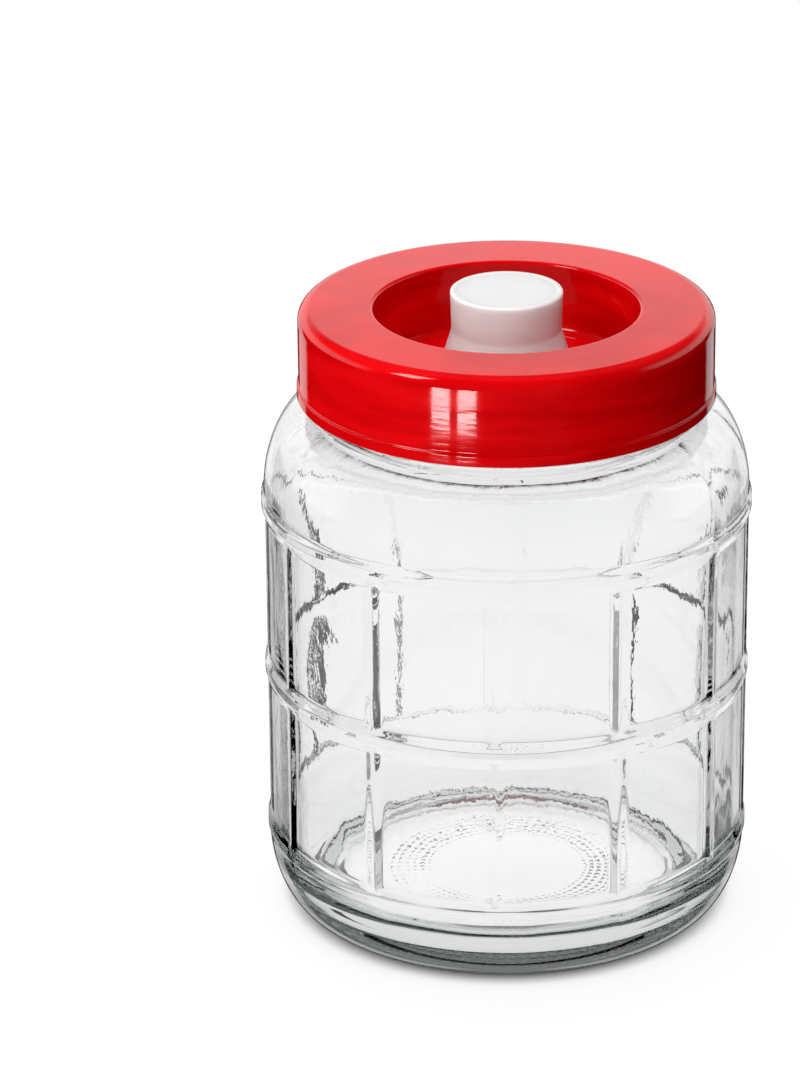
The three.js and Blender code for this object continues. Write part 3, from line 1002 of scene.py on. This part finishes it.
class DEMIJOHN_OT_glass_jar(bpy.types.Operator):
    """Makes the ribbed glass jar with its neck, thread and true wall"""

    bl_idname = "demijohn.glass_jar"
    bl_label = "Glass jar"

    def execute(self, context):
        scene = context.scene
        material = glass_material(scene.demijohn_finishes)
        place("jar_glass", jar_mesh(scene.demijohn_jar), material, "glass_jar")
        return {"FINISHED"}


class DEMIJOHN_OT_screw_lid(bpy.types.Operator):
    """Makes the red screw lid with its well and post"""

    bl_idname = "demijohn.screw_lid"
    bl_label = "Screw lid"

    def execute(self, context):
        scene = context.scene
        material = red_material(scene.demijohn_finishes)
        lid = place("lid_red", lid_mesh(scene.demijohn_lid), material, "screw_lid")
        receivers("lit_by_softbox").objects.link(lid)
        receivers("lit_by_window").objects.link(lid)
        return {"FINISHED"}


class DEMIJOHN_OT_airlock_bell(bpy.types.Operator):
    """Makes the milky airlock bell with its notched rim"""

    bl_idname = "demijohn.airlock_bell"
    bl_label = "Airlock bell"

    def execute(self, context):
        scene = context.scene
        material = milky_material(scene.demijohn_finishes)
        mesh = bell_mesh(scene.demijohn_bell)
        bell = place("bell_milky", mesh, material, "airlock_bell")
        receivers("lit_by_softbox").objects.link(bell)
        receivers("lit_by_bell_light").objects.link(bell)
        return {"FINISHED"}


class DEMIJOHN_OT_stage(bpy.types.Operator):
    """Makes the floor, the backdrop, the lights and the camera"""

    bl_idname = "demijohn.stage"
    bl_label = "Stage"

    def execute(self, context):
        looks = context.scene.demijohn_stage
        make_camera()
        make_floor(looks)
        make_world(looks)
        overhead = area_light("overhead", *OVERHEAD, looks.overhead)
        overhead.visible_glossy = False
        overhead.visible_transmission = False
        softbox = area_light("softbox", *SOFTBOX, looks.softbox)
        softbox.visible_transmission = False
        softbox.light_linking.receiver_collection = receivers("lit_by_softbox")
        spot = area_light("bell_light", *BELL_LIGHT, looks.bell_light)
        spot.visible_transmission = False
        spot.light_linking.receiver_collection = receivers("lit_by_bell_light")
        shade_card()
        window_light()
        context.scene.view_settings.view_transform = "Standard"
        cycles = context.scene.cycles
        cycles.max_bounces = 24
        cycles.transmission_bounces = 20
        cycles.glossy_bounces = 14
        cycles.diffuse_bounces = 5
        return {"FINISHED"}


class DEMIJOHN_PT_panel(bpy.types.Panel):
    """Lists the demijohn's pieces in the sidebar"""

    bl_idname = "DEMIJOHN_PT_panel"
    bl_label = "Glass demijohn"
    bl_space_type = "VIEW_3D"
    bl_region_type = "UI"
    bl_category = "Demijohn"

    def draw(self, context):
        for operator, group in OPERATOR_GROUPS:
            box = self.layout.box()
            box.operator(operator.bl_idname)
            settings = getattr(context.scene, group)
            for name in settings.__annotations__:
                box.prop(settings, name)
        finishes = self.layout.box()
        for name in Finishes.__annotations__:
            finishes.prop(context.scene.demijohn_finishes, name)


OPERATOR_GROUPS = (
    (DEMIJOHN_OT_glass_jar, "demijohn_jar"),
    (DEMIJOHN_OT_screw_lid, "demijohn_lid"),
    (DEMIJOHN_OT_airlock_bell, "demijohn_bell"),
    (DEMIJOHN_OT_stage, "demijohn_stage"),
)
PROPERTY_GROUPS = (
    ("demijohn_jar", JarSizes),
    ("demijohn_lid", LidSizes),
    ("demijohn_bell", BellSizes),
    ("demijohn_finishes", Finishes),
    ("demijohn_stage", StageLooks),
)


def register():
    """Registers the settings, the operators and the panel."""
    for name, group in PROPERTY_GROUPS:
        bpy.utils.register_class(group)
        setattr(bpy.types.Scene, name, bpy.props.PointerProperty(type=group))
    for operator, _ in OPERATOR_GROUPS:
        bpy.utils.register_class(operator)
    bpy.utils.register_class(DEMIJOHN_PT_panel)


def unregister():
    """Takes all of them out again."""
    bpy.utils.unregister_class(DEMIJOHN_PT_panel)
    for operator, _ in reversed(OPERATOR_GROUPS):
        bpy.utils.unregister_class(operator)
    for name, group in reversed(PROPERTY_GROUPS):
        delattr(bpy.types.Scene, name)
        bpy.utils.unregister_class(group)


def main():
    """Builds the stage and the pieces."""
    register()
    bpy.ops.demijohn.stage()
    bpy.ops.demijohn.glass_jar()
    bpy.ops.demijohn.screw_lid()
    bpy.ops.demijohn.airlock_bell()
    bpy.context.view_layer.update()


if __name__ == "__main__":
    main()
